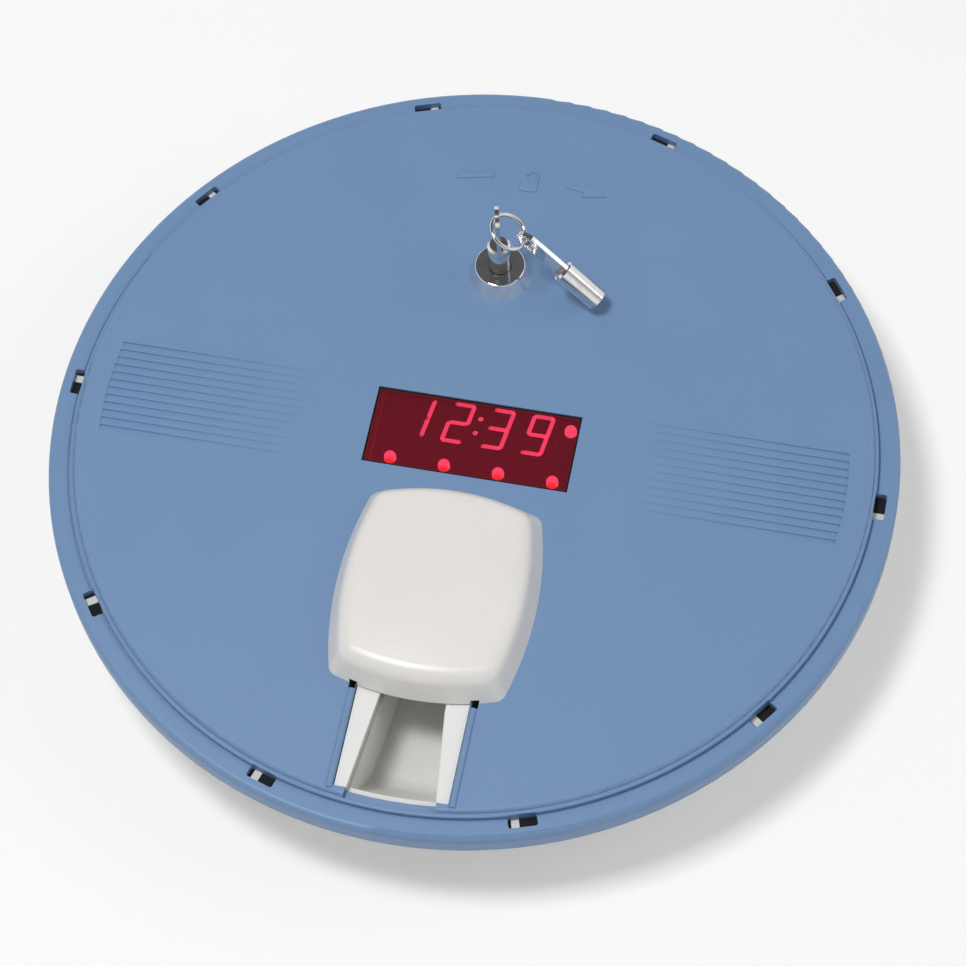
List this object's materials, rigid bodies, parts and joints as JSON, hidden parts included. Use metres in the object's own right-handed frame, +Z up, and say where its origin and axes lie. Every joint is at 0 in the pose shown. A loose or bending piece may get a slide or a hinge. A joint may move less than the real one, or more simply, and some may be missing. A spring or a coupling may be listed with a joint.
{
  "type": "automatic pill dispenser",
  "caption": "Round automatic pill dispenser with a locking lid, a motor-driven compartment carousel, a red clock display, a sliding hood over the pill opening and a tubular lock with its keys.",
  "frame": {"origin": "on the table surface under the centre of the round body", "axes": "+Z up through the tray's axis; -Y towards the pill opening, the side that faces the user; +X to the user's right"},
  "size_m": [0.266, 0.266, 0.0826],
  "materials": {
    "blue_plastic": "satin moulded",
    "red_filter": "clear polished",
    "white_plastic": "moulded",
    "hood_white": "fine satin",
    "tray_white": "moulded",
    "base_white": "satin moulded",
    "chrome": "polished",
    "key_chrome": "polished",
    "plated_steel": "zinc plated",
    "steel_wire": "drawn",
    "gear_plastic": "natural nylon",
    "brass": "cut",
    "rubber": "matt",
    "seal_black": "closed-cell foam",
    "display_black": "smooth face",
    "lamp_red": "clear tinted",
    "black_plastic": "moulded",
    "board_green": "solder mask",
    "switch_black": "moulded",
    "motor_metal": "pressed can",
    "cell_jacket": "printed jacket",
    "wire_insulation": "smooth",
    "button_grey": "moulded"
  },
  "bodies": {
    "base": {"base_bowl": "base_white", "rim_seal": "seal_black", "rubber_feet": "rubber", "hub_housing": "base_white", "hub_screws": "plated_steel", "display_module": "display_black", "indicator_lamps": "lamp_red", "display_bezel": "black_plastic", "main_board": "board_green", "board_screws": "plated_steel", "tact_switches": "switch_black", "buzzer": "switch_black", "index_sensor": "switch_black", "gear_motor": "motor_metal", "motor_screws": "plated_steel", "battery_holder": "black_plastic", "battery_cells": "cell_jacket", "battery_contacts": "plated_steel", "supply_jack": "black_plastic", "supply_wires": "wire_insulation"},
    "lid": {"lid_deck": "blue_plastic", "lid_rim": "blue_plastic", "window_filter": "red_filter", "slide_frame": "white_plastic", "lock_body": "chrome", "lock_washer": "plated_steel", "lock_nut": "plated_steel"},
    "hood": {"sliding_hood": "hood_white"},
    "lock_core": {"lock_plug": "chrome", "lock_cam": "plated_steel", "cam_screw": "plated_steel"},
    "key": {"lock_key": "key_chrome"},
    "ring": {"key_ring": "steel_wire"},
    "spare": {"spare_key": "key_chrome"},
    "tray": {"tray_floor": "tray_white", "tray_inner_wall": "tray_white", "tray_outer_wall": "tray_white", "tray_track": "tray_white", "tray_dividers": "tray_white", "tray_ring_gear": "gear_plastic"},
    "pinion": {"drive_pinion": "brass", "pinion_shaft": "steel_wire"},
    "program_button": {"program_button": "button_grey"},
    "hour_button": {"hour_button": "button_grey"},
    "minute_button": {"minute_button": "button_grey"},
    "test_button": {"test_button": "button_grey"},
    "door": {"battery_door": "base_white"}
  },
  "joints": [
    {"name": "lid_turn", "type": "hinge", "parent": "base", "child": "lid", "pos_m": [0, 0, 0.0415], "axis": [0, 0, 1], "range_deg": [-12, 0]},
    {"name": "hood_slide", "type": "slide", "parent": "lid", "child": "hood", "axis": [0, -1, 0], "range_m": [0, 0.033]},
    {"name": "key_turn", "type": "hinge", "parent": "lid", "child": "lock_core", "pos_m": [-0.003, 0.061, 0.044], "axis": [0, 0, 1], "range_deg": [0, 90]},
    {"name": "key_pull", "type": "slide", "parent": "lock_core", "child": "key", "axis": [0, 0, 1], "range_m": [0, 0.012]},
    {"name": "ring_swing", "type": "hinge", "parent": "key", "child": "ring", "pos_m": [-0.003, 0.061, 0.07844], "axis": [0.241, -0.9666, -0.0872], "range_deg": [0, 12]},
    {"name": "spare_swing", "type": "hinge", "parent": "ring", "child": "spare", "pos_m": [0.00622, 0.05897, 0.07317], "axis": [0.0933, -0.9956, 0.0007], "range_deg": [0, 30]},
    {"name": "tray_spin", "type": "hinge", "parent": "base", "child": "tray", "pos_m": [0, 0, 0.012], "axis": [0, 0, 1], "continuous": true},
    {"name": "pinion_spin", "type": "hinge", "parent": "base", "child": "pinion", "pos_m": [0.063, 0, 0.012], "axis": [0, 0, 1], "continuous": true},
    {"name": "program_press", "type": "slide", "parent": "base", "child": "program_button", "axis": [0, 0, -1], "range_m": [0, 0.0008], "stiffness_N_per_m": 500, "springref_m": -0.0004},
    {"name": "hour_press", "type": "slide", "parent": "base", "child": "hour_button", "axis": [0, 0, -1], "range_m": [0, 0.0008], "stiffness_N_per_m": 500, "springref_m": -0.0004},
    {"name": "minute_press", "type": "slide", "parent": "base", "child": "minute_button", "axis": [0, 0, -1], "range_m": [0, 0.0008], "stiffness_N_per_m": 500, "springref_m": -0.0004},
    {"name": "test_press", "type": "slide", "parent": "base", "child": "test_button", "axis": [0, 0, -1], "range_m": [0, 0.0008], "stiffness_N_per_m": 500, "springref_m": -0.0004},
    {"name": "door_slide", "type": "slide", "parent": "base", "child": "door", "axis": [0, -1, 0], "range_m": [0, 0.012]}
  ],
  "couplings": [
    {"joint": "pinion_spin", "follows": "tray_spin", "ratio": 7}
  ]
}
